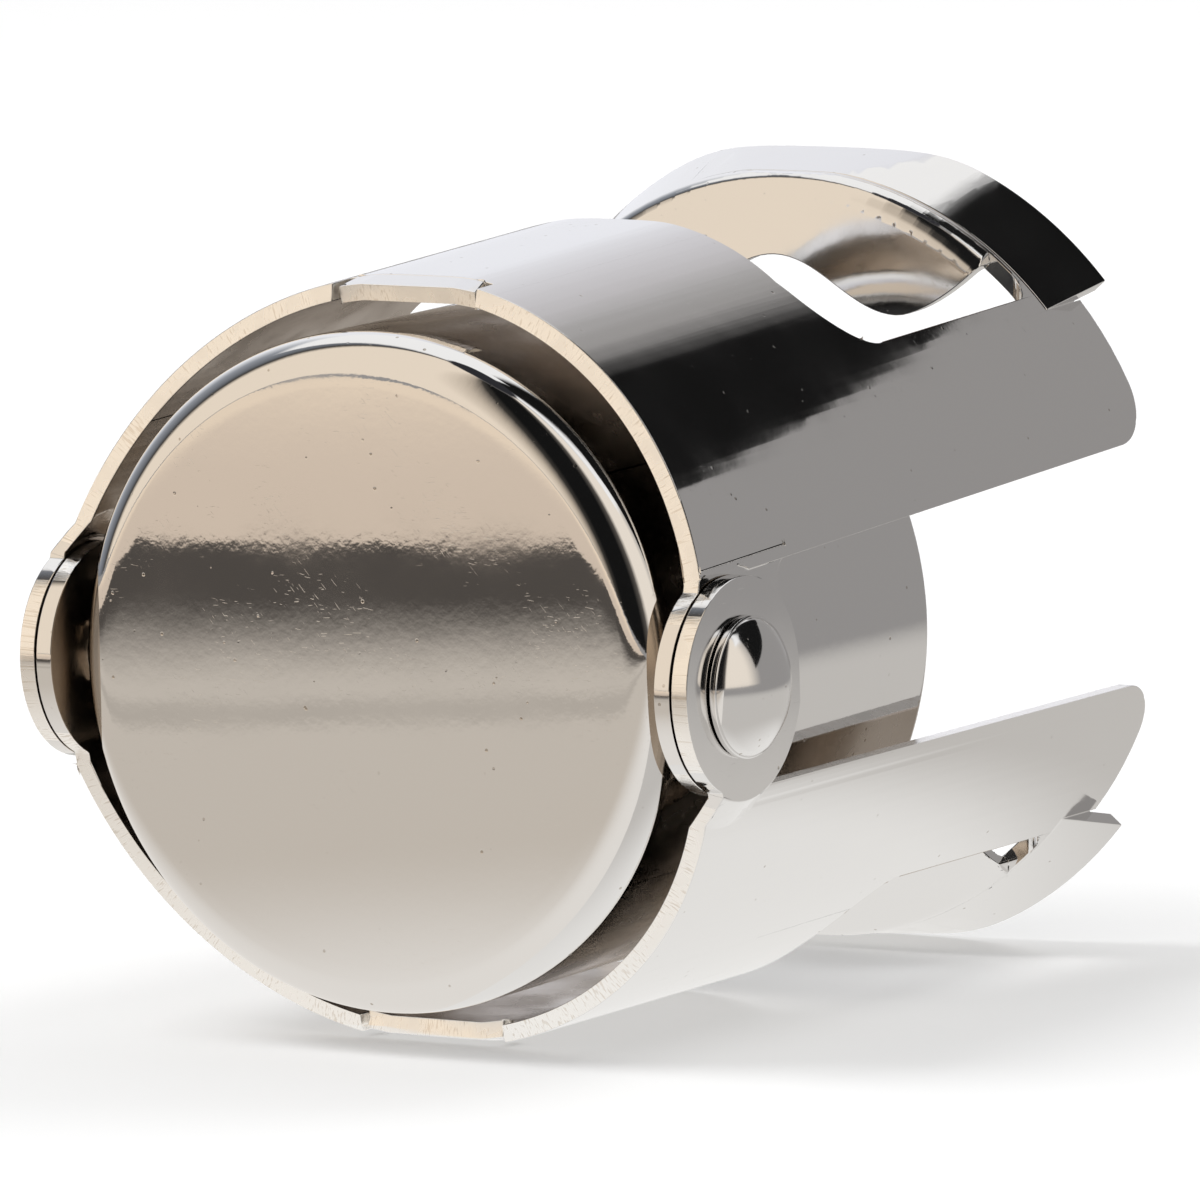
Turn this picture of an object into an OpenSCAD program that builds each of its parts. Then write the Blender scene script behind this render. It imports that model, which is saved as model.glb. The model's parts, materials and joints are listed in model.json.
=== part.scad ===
// Hinged stopper cap for a sparkling-wine bottle, lying on its side.
// A drawn steel cap holds a sprung rubber seal. Two identical sheet-steel
// wings swing on two rivets and hook under the bead of the bottle.
// The stopper's own axes: x along the rivets, z along the bottle towards the
// hooks, y towards the lower wing, with the origin midway between the rivets.

/* [Cap] */
// Outer diameter of the drawn cap
cap_d = 34.4; // [30:0.1:40]
// Distance from the rivet axis to the cap's flat face
cap_front = 4.2; // [3.6:0.1:5]
// Distance from the rivet axis to the cap's open end
cap_depth = 23; // [18:0.1:28]
// Outer radius of the rounded shoulder
shoulder_r = 2; // [1.2:0.1:3]
// Sheet thickness of the cap
cap_t = 0.7; // [0.5:0.05:1]
// How far the rolled lip reaches inwards past the wall
lip_reach = 0.8; // [0.5:0.05:1.1]
// Length of the rolled lip along the cap
lip_len = 1.6; // [1.2:0.1:2.4]

/* [Wings] */
// Sheet thickness of the wings
wing_t = 0.9; // [0.7:0.05:1.1]
// Distance from the rivet axis to the front edge beside the ears
front_low = 3.65; // [3:0.05:4.5]
// How far the crown of each wing is pressed flat
crown_flat = 0.16; // [0.1:0.02:0.3]
// How far the front edge leans back from the ears to the crown
front_rise = 5.4; // [4:0.1:6.5]
// Width of the slot between the two wings
side_slot = 10.8; // [10.6:0.1:12.6]
// Length of the plain far edge beyond the hook face
strip_len = 5.3; // [4.6:0.1:7]
// Corner radius of the far edge
far_corner_r = 2.8; // [1.5:0.1:4]

/* [Window] */
// Length of the window in front of the hook
window_len = 17.4; // [12:0.1:18]
// Width of the window, measured straight across
window_w = 28.6; // [27:0.1:30]
// Corner radius of the window
window_r = 3.2; // [2:0.1:4]
// How far the window's front edge bows in at the crown
window_bow = 1.6; // [0.8:0.1:2.4]

/* [Hook] */
// Distance from the rivet axis to the hook's front face
hook_at = 38.3; // [36:0.1:44]
// Outer bend radius where the hook leaves the wing
hook_bend = 1.3; // [1.1:0.05:1.8]
// Height of the hook's edge above the axis at the crown
hook_mid = 15.2; // [14.6:0.05:15.6]
// Height of the hook's edge above the axis at its two lobes
hook_lobe = 12.25; // [11.8:0.05:13]
// Distance of each lobe from the middle
lobe_x = 7.35; // [6.8:0.05:8]
// Half width of the hook where it runs out
hook_half_w = 11.9; // [11.4:0.1:12.4]

/* [Finger lip] */
// How far the finger lip reaches past the plain far edge
lip_over = 0.9; // [0.4:0.1:1.6]
// How far the finger lip flares out from the wing
lip_flare = 1.4; // [1:0.05:1.8]
// How far the flare is pressed flat at its crown
lip_flat = 0.9; // [0.6:0.05:1]

/* [Front tab] */
// Width of the stop tab in the middle of the front edge
tab_w = 8.4; // [6:0.1:11]
// Depth of the notches on each side of the stop tab
notch_depth = 1.5; // [1:0.1:2.2]
// Width of each notch
notch_w = 0.5; // [0.3:0.1:0.8]
// Angle by which the stop tab is bent in
tab_angle = 12; // [8:1:16]

/* [Ears] */
// Radius of the ears round the rivets
ear_r = 5.5; // [5:0.1:5.9]
// Clearance between the inner ears and the cap
ear_gap = 0.5; // [0.3:0.05:0.8]
// Running clearance between the two ears of a pair
ear_slip = 0.1; // [0.08:0.01:0.2]
// How far the outer ears stand proud of the wings' round
ear_proud = 0.1; // [0:0.05:0.2]
// Slope of the joggle from the outer ear down to the wing
joggle_slope = 1; // [0.9:0.05:1.3]

/* [Rivets] */
// Radius of the rivet shanks
shank_r = 2; // [1.4:0.1:2.4]
// Radius of the domed rivet heads
head_r = 3.55; // [3:0.05:4.2]
// Height of the domed rivet heads
head_h = 1.9; // [1.2:0.1:2.2]
// Radial clearance of the ears on the shanks
pivot_slip = 0.08; // [0.04:0.01:0.1]

/* [Seal] */
// Thickness of the rubber seal
seal_t = 3; // [2:0.1:4]
// Sheet thickness of the pan that holds the seal
pan_t = 0.7; // [0.5:0.05:0.9]
// Clearance between the pan and the cap's wall
pan_slip = 0.4; // [0.3:0.05:0.45]
// Clearance between the pan and the rolled lip
pan_rest = 0.1; // [0.05:0.05:0.3]

/* [Spring] */
// Wire diameter of the coil spring
wire_d = 1.6; // [1:0.1:2]
// Mean diameter of the coil spring
coil_d = 22; // [18:0.5:25]
// Number of open turns of the spring
open_turns = 4; // [3:0.5:5]

/* [Pose] */
// Angle by which the upper wing stands open
upper_open = 2; // [0:0.5:6]
// Angle by which the lower wing stands open
lower_open = 0.6; // [0:0.2:4]

/* [Hidden] */
$fn = 128;

cut = 0.02;
seam = 0.04;
cap_r = cap_d / 2;
cap_in = cap_r - cap_t;
lip_in = cap_in - lip_reach;
lip_round = 0.8;

// Planes of the ears, counted outwards from the cap
inner_ear_in = cap_r + ear_gap;
inner_ear_out = inner_ear_in + wing_t;
outer_ear_in = inner_ear_out + ear_slip;
outer_ear_out = outer_ear_in + wing_t;
wing_r = outer_ear_out - ear_proud;
wing_in = wing_r - wing_t;
wing_crown = wing_r - crown_flat;

// Tongues that tie the bends of a wing together inside its sheet
tongue_in = 0.12 * wing_t;
tongue_t = 0.7 * wing_t - crown_flat;
tongue_len = 0.3;
half_slot = side_slot / 2;
wing_end = hook_at + strip_len;
pad_r = ear_r + 0.2;
recess_r = ear_r + 0.5;
slot_fillet = 0.8;
skirt = 2.6;

// Front edge of the wing as a sloping plane
function front_z(y) = -front_low + front_rise * y / wing_r;

// Window and hook
window_z = hook_at - window_len;
relief_r = hook_bend + seam;
bow_chord = window_w / 2 - window_r - 1;
bow_r = (pow(bow_chord, 2) + pow(window_bow, 2)) / (2 * window_bow);
lip_angle = acos(window_w / 2 / wing_r) - 3;
lip_r = wing_r + lip_flare;
lip_crown = lip_r - lip_flat;
lip_end = wing_end + lip_over;
lip_base = hook_at + hook_bend + 0.4;
hook_rise = 2.6;
hook_power = 1.6;
edge_steps = 28;

// Stop tab
tab_half = tab_w / 2;
bend_z = front_z(wing_r) + notch_depth;

// Rivets, from the inside of the cap outwards
head_slip = 0.08;
head_x = outer_ear_out + head_slip;
head_lip = 0.4;
tail_r = shank_r + 0.6;
tail_t = 0.9;
tail_x = sqrt(pow(cap_in, 2) - pow(tail_r, 2));
bore_r = shank_r + pivot_slip;

// Seal and spring, stacked back from the rolled lip
pan_r = cap_in - pan_slip;
pan_front = cap_depth - lip_len - pan_rest;
seal_r = pan_r - pan_t - 0.05;
pan_back = pan_front - seal_t - pan_t;
coil_start = -cap_front + cap_t;
coil_travel = pan_back - coil_start - wire_d;
coil_turns = open_turns + 2;
ring_steps = 20;
wire_sides = 8;

// Lying pose: the lower wing rests on the flat of its crown and its finger lip
contact_front = [bend_z, wing_crown];
contact_back = [lip_end, lip_crown];
function swung(p, a) = [p[0] * cos(a) - p[1] * sin(a), p[1] * cos(a) + p[0] * sin(a)];
rest_front = swung(contact_front, lower_open);
rest_back = swung(contact_back, lower_open);
lay_tilt = atan2(rest_back[1] - rest_front[1], rest_back[0] - rest_front[0]);
lift = swung(rest_back, -lay_tilt)[1];
reach = swung(rest_back, -lay_tilt)[0];
shift = (ear_r - reach) / 2;

module lying() {
    translate([0, shift, lift])
        rotate([lay_tilt - 90, 0, 0])
            children();
}

// Cap: a drawn cup with a rounded shoulder and a rolled lip

module cup_section(r, z, shoulder, top) {
    translate([0, z])
        square([r - shoulder, top - z]);
    translate([0, z + shoulder])
        square([r, top - z - shoulder]);
    translate([r - shoulder, z + shoulder])
        circle(shoulder);
}

module rolled_lip() {
    lip_w = cap_r - lip_in;
    translate([lip_in, cap_depth - lip_len]) {
        square([lip_w, lip_len - lip_round]);
        square([lip_w - lip_round, lip_len]);
        translate([lip_w - lip_round, lip_len - lip_round])
            circle(lip_round);
    }
}

module cap_cup() {
    color("lightgray")
        lying()
            difference() {
                rotate_extrude()
                    intersection() {
                        union() {
                            difference() {
                                cup_section(cap_r, -cap_front, shoulder_r, cap_depth - lip_round);
                                cup_section(cap_in, cap_t - cap_front, shoulder_r - cap_t, cap_depth);
                            }
                            rolled_lip();
                        }
                        translate([0, -2 * cap_front])
                            square([cap_d, 2 * cap_depth]);
                    }
                rotate([0, 90, 0])
                    cylinder(h = 2 * cap_d, r = shank_r, center = true);
            }
}

// Wings: outlines seen from the side, as y and z

module from_side(width) {
    rotate([90, 0, 90])
        linear_extrude(height = width)
            children();
}

module sheet_outline() {
    far = wing_r + lip_flare + 1;
    difference() {
        polygon([
            [half_slot, front_z(half_slot)],
            [far, front_z(far)],
            [far, wing_end],
            [half_slot, wing_end]
        ]);
        difference() {
            translate([half_slot - cut, wing_end - far_corner_r])
                square(far_corner_r + cut);
            translate([half_slot + far_corner_r, wing_end - far_corner_r])
                circle(far_corner_r);
        }
    }
}

module ear_outline(join) {
    circle(ear_r);
    polygon([
        [0, -front_low],
        [half_slot, front_z(half_slot)],
        [half_slot + join, front_z(half_slot + join) + cut],
        [half_slot + join, ear_r],
        [0, ear_r]
    ]);
    difference() {
        translate([half_slot - slot_fillet, ear_r - cut])
            square([slot_fillet + join, slot_fillet + cut]);
        translate([half_slot - slot_fillet, ear_r + slot_fillet])
            circle(slot_fillet);
    }
}

module flat_topped(r, z0, z1) {
    difference() {
        translate([0, 0, z0])
            cylinder(h = z1 - z0, r = r);
        translate([-r, r - crown_flat, z0 - 1])
            cube([2 * r, r, z1 - z0 + 2]);
    }
}

module wing_round(z0, z1) {
    difference() {
        flat_topped(wing_r, z0, z1);
        flat_topped(wing_in, z0 - 1, z1 + 1);
    }
}

// Solid turned round the rivet axis, on the side of positive x
module about_rivet() {
    rotate([0, 90, 0])
        rotate_extrude()
            children();
}

// The outer ear is a raised pad whose skirt runs down into the wing's round
module outer_ear() {
    intersection() {
        difference() {
            about_rivet()
                polygon([
                    [0, outer_ear_in],
                    [pad_r, outer_ear_in],
                    [pad_r + skirt, outer_ear_in - skirt * joggle_slope],
                    [pad_r + skirt, outer_ear_out - skirt * joggle_slope],
                    [pad_r, outer_ear_out],
                    [0, outer_ear_out]
                ]);
            translate([0, 0, -wing_end])
                cylinder(h = 2 * wing_end, r = wing_in);
        }
        from_side(2 * wing_r)
            union() {
                ear_outline(cut);
                sheet_outline();
            }
    }
}

module under_outer_ear() {
    about_rivet()
        polygon([
            [0, outer_ear_in - skirt * joggle_slope],
            [0, outer_ear_in],
            [pad_r, outer_ear_in],
            [pad_r + skirt, outer_ear_in - skirt * joggle_slope]
        ]);
}

module inner_ear() {
    join = sqrt(pow(wing_in, 2) - pow(inner_ear_in, 2)) - half_slot + 0.3;
    translate([-inner_ear_out, 0, 0])
        from_side(wing_t)
            ear_outline(join);
}

module window_outline() {
    half = window_w / 2;
    difference() {
        union() {
            translate([-half, window_z + window_r])
                square([window_w, window_len - window_r]);
            translate([window_r - half, window_z])
                square([window_w - 2 * window_r, window_len]);
            translate([relief_r - half, window_z + window_r])
                square([window_w - 2 * relief_r, window_len - window_r + relief_r]);
            for (side = [-1, 1]) {
                translate([side * (half - window_r), window_z + window_r])
                    circle(window_r);
                translate([side * (half - relief_r), hook_at])
                    circle(relief_r);
            }
        }
        translate([0, window_z + window_bow - bow_r])
            circle(bow_r, $fn = 360);
    }
}

module window_cut() {
    rotate([90, 0, 0])
        translate([0, 0, -2 * wing_r])
            linear_extrude(height = 2 * wing_r - half_slot - window_r)
                window_outline();
}

// Inner edge of the hook: hollow at the crown, with a lobe on each side
function hook_edge(x) = abs(x) < lobe_x
    ? hook_lobe + (hook_mid - hook_lobe) * pow(cos(90 * x / lobe_x), 2)
    : hook_lobe + hook_rise * pow((abs(x) - lobe_x) / (hook_half_w - lobe_x), hook_power);

// Section of the bend from the hook's plate, at the left, up into the strip
module inside_bend(r, reach) {
    circle(r);
    translate([-reach, -r])
        square([reach, 2 * hook_bend]);
}

module hook_section() {
    reach = wing_r - hook_bend - hook_lobe;
    translate([wing_r - hook_bend, hook_at + hook_bend]) {
        difference() {
            intersection() {
                inside_bend(hook_bend, reach);
                translate([-reach, -hook_bend])
                    square([reach + hook_bend, hook_bend]);
            }
            inside_bend(hook_bend - wing_t, reach + 1);
        }
        translate([hook_bend - wing_t + tongue_in, -wing_t / 2])
            square([tongue_t, wing_t / 2 + tongue_len]);
    }
}

module hook_outline() {
    step = hook_half_w / edge_steps;
    polygon(concat(
        [[-hook_half_w, 2 * wing_r]],
        [for (i = [-edge_steps:edge_steps]) [i * step, hook_edge(i * step)]],
        [[hook_half_w, 2 * wing_r]]
    ));
}

module hook() {
    difference() {
        intersection() {
            rotate_extrude()
                hook_section();
            translate([0, 0, hook_at - 1])
                linear_extrude(height = 2 * strip_len)
                    hook_outline();
        }
        translate([-wing_r, wing_crown, hook_at - 1])
            cube([2 * wing_r, wing_t, 2 * strip_len]);
    }
}

// Finger lip: the strip beyond the hook flares out and is flat at its crown
module lip_sector(z) {
    reach = 3 * wing_r;
    translate([0, 0, z])
        linear_extrude(height = 2 * strip_len)
            polygon([
                [0, 0],
                [reach * cos(lip_angle), reach * sin(lip_angle)],
                [-reach * cos(lip_angle), reach * sin(lip_angle)]
            ]);
}

module lip_solid(inset, extra) {
    flare = (lip_r - wing_r) / (lip_end - lip_base);
    crown = atan((lip_crown - wing_crown) / (lip_end - lip_base));
    difference() {
        translate([0, 0, lip_base - extra])
            cylinder(
                h = lip_end - lip_base + 2 * extra,
                r1 = wing_r - inset - flare * extra,
                r2 = lip_r - inset + flare * extra
            );
        translate([0, wing_crown - inset, lip_base])
            rotate([-crown, 0, 0])
                translate([-wing_r, 0, -2 * extra - 1])
                    cube([2 * wing_r, wing_r, 3 * strip_len]);
    }
}

module lip_tongue() {
    difference() {
        translate([0, 0, lip_base - tongue_len / 2])
            cylinder(h = tongue_len, r = wing_in + tongue_in + tongue_t);
        translate([0, 0, lip_base - tongue_len])
            cylinder(h = 2 * tongue_len, r = wing_in + tongue_in);
    }
}

module finger_lip() {
    intersection() {
        lip_sector(hook_at);
        union() {
            difference() {
                lip_solid(0, 0);
                lip_solid(wing_t, 1);
            }
            lip_tongue();
        }
    }
}

// Stop tab: the middle of the front edge, cut free by two notches and bent in
module stop_tab() {
    translate([0, wing_crown, bend_z])
        rotate([-tab_angle, 0, 0])
            translate([0, -wing_crown, -bend_z])
                intersection() {
                    wing_round(front_z(wing_crown), bend_z - seam);
                    translate([-tab_half + notch_w, 0, -wing_r])
                        cube([tab_w - 2 * notch_w, 2 * wing_r, 2 * wing_r]);
                }
}

module tab_room() {
    translate([-tab_half, wing_in - wing_t, -wing_r])
        cube([tab_w, 3 * wing_t, wing_r + bend_z]);
}

module wing() {
    difference() {
        union() {
            difference() {
                intersection() {
                    wing_round(front_z(0), wing_end);
                    translate([-wing_r, 0, 0])
                        from_side(2 * wing_r)
                            sheet_outline();
                }
                window_cut();
                tab_room();
                lip_sector(lip_base - seam);
                under_outer_ear();
                translate([-inner_ear_out - wing_r, 0, 0])
                    rotate([0, 90, 0])
                        cylinder(h = wing_r, r = recess_r);
            }
            hook();
            finger_lip();
            stop_tab();
            outer_ear();
            inner_ear();
        }
        rotate([0, 90, 0])
            cylinder(h = 3 * wing_r, r = bore_r, center = true);
    }
}

module lower_wing() {
    color("gainsboro")
        lying()
            rotate([-lower_open, 0, 0])
                wing();
}

module upper_wing() {
    color("silver")
        lying()
            rotate([0, 0, 180])
                rotate([-upper_open, 0, 0])
                    wing();
}

// Rivets: domed head, shank through both ears and the cap, peened tail
module rivet() {
    dome = head_h - head_lip;
    dome_r = (pow(head_r, 2) + pow(dome, 2)) / (2 * dome);
    about_rivet() {
        translate([0, tail_x - tail_t])
            square([tail_r, tail_t]);
        translate([0, tail_x - tail_t])
            square([shank_r, head_x - tail_x + tail_t + cut]);
        translate([0, head_x])
            square([head_r, head_lip]);
        intersection() {
            translate([0, head_x + head_h - dome_r])
                circle(dome_r);
            translate([0, head_x + head_lip / 2])
                square([head_r, head_h]);
        }
    }
}

module rivet_right() {
    color("whitesmoke")
        lying()
            rivet();
}

module rivet_left() {
    color("whitesmoke")
        lying()
            rotate([0, 0, 180])
                rivet();
}

// Spring: one closed turn at each end, with the open turns between them
function coil_height(t) = let (
        closed = wire_d,
        rise = coil_travel - 2 * closed
    )
    t < 1 ? closed * t
    : t > coil_turns - 1 ? coil_travel - closed * (coil_turns - t)
    : closed + rise * (t - 1) / (coil_turns - 2);

function coil_point(i, j) = let (
        t = i / ring_steps,
        a = 360 * t,
        b = 360 * j / wire_sides,
        r = coil_d / 2 + wire_d / 2 * cos(b)
    )
    [r * cos(a), r * sin(a), coil_start + wire_d / 2 + coil_height(t) + wire_d / 2 * sin(b)];

module spring() {
    rings = coil_turns * ring_steps;
    points = [for (i = [0:rings]) for (j = [0:wire_sides - 1]) coil_point(i, j)];
    sides = [for (i = [0:rings - 1]) for (j = [0:wire_sides - 1]) let (k = (j + 1) % wire_sides)
        [i * wire_sides + j, i * wire_sides + k, (i + 1) * wire_sides + k, (i + 1) * wire_sides + j]];
    ends = [
        [for (j = [wire_sides - 1:-1:0]) j],
        [for (j = [0:wire_sides - 1]) rings * wire_sides + j]
    ];
    color("darkgray")
        lying()
            polyhedron(points, concat(sides, ends), convexity = 10);
}

// Seal: a rubber disc in a steel pan that slides in the cap
module seal_pan() {
    color("gray")
        lying()
            translate([0, 0, pan_back])
                difference() {
                    cylinder(h = seal_t + pan_t, r = pan_r);
                    translate([0, 0, pan_t])
                        cylinder(h = seal_t + pan_t, r = pan_r - pan_t);
                }
}

module rubber_seal() {
    dimple_r = 7;
    dimple_t = 0.8;
    color("dimgray")
        lying()
            translate([0, 0, pan_back + pan_t])
                difference() {
                    cylinder(h = seal_t, r = seal_r);
                    translate([0, 0, seal_t - dimple_t])
                        cylinder(h = seal_t, r = dimple_r);
                }
}

cap_cup();
upper_wing();
lower_wing();
rivet_right();
rivet_left();
spring();
seal_pan();
rubber_seal();
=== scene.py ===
"""Hinged stopper cap for a sparkling-wine bottle, lying on its side on a pale floor."""

import json
import logging
import math
from contextlib import contextmanager
from dataclasses import dataclass, field
from enum import Enum
from typing import Iterator, Sequence

import bpy
from mathutils import Matrix, Vector


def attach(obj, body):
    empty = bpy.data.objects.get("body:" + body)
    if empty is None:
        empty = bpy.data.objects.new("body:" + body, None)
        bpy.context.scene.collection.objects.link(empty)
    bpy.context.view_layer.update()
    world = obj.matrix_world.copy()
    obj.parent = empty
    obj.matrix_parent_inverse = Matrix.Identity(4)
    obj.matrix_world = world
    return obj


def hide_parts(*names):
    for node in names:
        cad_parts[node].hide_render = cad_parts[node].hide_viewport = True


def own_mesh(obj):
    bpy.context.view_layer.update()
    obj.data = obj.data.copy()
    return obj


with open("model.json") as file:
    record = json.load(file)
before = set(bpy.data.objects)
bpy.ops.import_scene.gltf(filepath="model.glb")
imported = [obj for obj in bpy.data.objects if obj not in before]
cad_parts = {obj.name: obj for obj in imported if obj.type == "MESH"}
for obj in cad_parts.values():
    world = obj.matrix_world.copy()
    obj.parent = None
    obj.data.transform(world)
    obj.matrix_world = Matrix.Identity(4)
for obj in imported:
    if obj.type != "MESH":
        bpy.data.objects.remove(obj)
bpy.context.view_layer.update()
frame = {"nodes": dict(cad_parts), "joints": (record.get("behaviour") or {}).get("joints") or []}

Colour = tuple[float, float, float]
Corner = tuple[float, float, float]
Point = tuple[float, float]
Limits = tuple[float, float]

LOG = logging.getLogger("stopper_cap")

# Metres in a millimetre, then gaps in millimetres and an angle in radians that count as none

MM = 0.001
MERGE_GAP = 1e-4
SLIVER = 1e-5
STRAIGHT = 1e-4

WHITE = (1.0, 1.0, 1.0, 1.0)


class Side(Enum):
    """Which wing is meant, by the name of its node."""

    UPPER = "upper_wing"
    LOWER = "lower_wing"


class SheetFace(Enum):
    """The kinds of face on a wing, by the place of their material on the piece."""

    OUTSIDE = 0
    EDGE = 1
    INSIDE = 2


# Placing


@dataclass(frozen=True)
class Placing:
    """Where the stopper lies: x along the rivets, z along the bottle, y to the lower wing.

    Sizes are in millimetres and angles in degrees.
    """

    hinge: Vector
    axis: Vector
    upper_open: float = 2.0
    lower_open: float = 0.6

    @classmethod
    def from_joints(cls, joints: Sequence[dict]) -> "Placing":
        """Reads the place from the joints of the frame.

        Args:
            joints: The record's joints.

        Returns:
            The placing of the stopper.
        """
        by_name = {joint["name"]: joint for joint in joints}
        hinge = Vector(by_name["upper_hinge"]["pos_m"])
        axis = -Vector(by_name["seal_slide"]["axis"]).normalized()
        return cls(hinge, axis)

    def to_row(self) -> Matrix:
        """Gives the matrix from the stopper's own millimetres to the frame's metres.

        Returns:
            The matrix.
        """
        across = Vector((1, 0, 0))
        down = self.axis.cross(across)
        turn = Matrix((across, down, self.axis)).transposed().to_4x4()
        return Matrix.Translation(self.hinge) @ turn @ Matrix.Scale(MM, 4)

    def wing_to_row(self, side: Side) -> Matrix:
        """Gives the matrix from a wing's own millimetres to the frame's metres.

        Args:
            side: The wing that is meant.

        Returns:
            The matrix, for a wing whose crown is at positive y.
        """
        if side is Side.LOWER:
            return self.to_row() @ Matrix.Rotation(math.radians(-self.lower_open), 4, "X")
        swing = Matrix.Rotation(math.radians(-self.upper_open), 4, "X")
        return self.to_row() @ Matrix.Rotation(math.pi, 4, "Z") @ swing

    def rivet_to_row(self, hand: int) -> Matrix:
        """Gives the matrix for a piece turned round z that sits along one rivet.

        Args:
            hand: 1 for the rivet at positive x, -1 for the other.

        Returns:
            The matrix to the frame's metres.
        """
        return self.to_row() @ Matrix.Rotation(hand * math.pi / 2, 4, "Y")


# Modelling


def select_only(piece: bpy.types.Object) -> None:
    """Selects one piece, makes it the active one and deselects all else.

    Args:
        piece: The object to select.
    """
    bpy.ops.object.select_all(action="DESELECT")
    piece.select_set(True)
    bpy.context.view_layer.objects.active = piece


@contextmanager
def editing(piece: bpy.types.Object) -> Iterator[None]:
    """Opens a piece in edit mode with all else deselected, and closes it again.

    Args:
        piece: The mesh object to edit.

    Yields:
        Nothing, while the piece is open.
    """
    select_only(piece)
    bpy.ops.object.mode_set(mode="EDIT")
    bpy.ops.mesh.select_mode(type="VERT")
    yield
    bpy.ops.object.mode_set(mode="OBJECT")


def apply_modifier(piece: bpy.types.Object, kind: str, **settings: object) -> None:
    """Adds a modifier to a piece and applies it.

    Args:
        piece: The mesh object.
        kind: The modifier's type.
        settings: The modifier's own settings.
    """
    modifier = piece.modifiers.new(kind.title(), kind)
    for key, value in settings.items():
        setattr(modifier, key, value)
    select_only(piece)
    bpy.ops.object.modifier_apply(modifier=modifier.name)


def smooth(piece: bpy.types.Object, angle: float = 35.0) -> None:
    """Shades a piece smooth, apart from edges sharper than an angle in degrees."""
    select_only(piece)
    bpy.ops.object.shade_smooth_by_angle(angle=math.radians(angle))


def filleted(corners: Sequence[Corner], steps: int) -> list[Point]:
    """Rounds the corners of a closed outline.

    Args:
        corners: The outline's corners, each as x, y and its rounding radius.
        steps: How many chords each rounding has.

    Returns:
        The outline's points.
    """
    points: list[Point] = []
    for i, (x, y, radius) in enumerate(corners):
        here = Vector((x, y))
        back = (Vector(corners[i - 1][:2]) - here).normalized()
        ahead = (Vector(corners[(i + 1) % len(corners)][:2]) - here).normalized()
        half = back.angle(ahead) / 2
        straight = half > math.pi / 2 - STRAIGHT
        if radius <= 0 or straight:
            points.append((x, y))
            continue
        run = radius / math.tan(half)
        centre = here + (back + ahead).normalized() * (radius / math.sin(half))
        start = here + back * run - centre
        turn = start.angle_signed(here + ahead * run - centre)
        for k in range(steps + 1):
            points.append(tuple(centre + Matrix.Rotation(-turn * k / steps, 2) @ start))
    return points


def turned(name: str, outline: Sequence[Point], steps: int) -> bpy.types.Object:
    """Turns a closed outline once round the z axis.

    Args:
        name: The new piece's name.
        outline: The section, as radius and height in millimetres.
        steps: How many sides the turned piece has.

    Returns:
        The new piece, in millimetres.
    """
    count = len(outline)
    mesh = bpy.data.meshes.new(name)
    edges = [(i, (i + 1) % count) for i in range(count)]
    mesh.from_pydata([(r, 0, z) for r, z in outline], edges, [])
    piece = bpy.data.objects.new(name, mesh)
    bpy.context.scene.collection.objects.link(piece)
    with editing(piece):
        bpy.ops.mesh.select_all(action="SELECT")
        bpy.ops.mesh.spin(steps=steps, angle=2 * math.pi, center=(0, 0, 0), axis=(0, 0, 1))
        bpy.ops.mesh.select_all(action="SELECT")
        bpy.ops.mesh.remove_doubles(threshold=MERGE_GAP)
        bpy.ops.mesh.dissolve_degenerate(threshold=SLIVER)
        bpy.ops.mesh.select_all(action="SELECT")
        bpy.ops.mesh.normals_make_consistent(inside=False)
    smooth(piece)
    return piece


def settle(piece: bpy.types.Object, place: Matrix, body: str, nodes: Sequence[str]) -> None:
    """Puts a finished piece in its place, on its body and in the stead of its nodes.

    Args:
        piece: The piece, in its own millimetres.
        place: The matrix to the frame's metres.
        body: The body that it rides on.
        nodes: The nodes that it replaces.
    """
    piece.data.transform(place)
    piece.data.update()
    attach(piece, body)
    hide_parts(*nodes)
    LOG.info("%s: %d faces, on %s", piece.name, len(piece.data.polygons), body)


# Finishes


@dataclass(frozen=True)
class Spots:
    """Noise cut to soft spots: their width in millimetres, and the noise where they begin and fill."""

    size: float
    begin: float
    fill: float
    detail: float = 2.0


@dataclass(frozen=True)
class Relief:
    """How a height shows as bump: its strength, and the depth in millimetres of a height of 1."""

    strength: float
    depth: float


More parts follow.
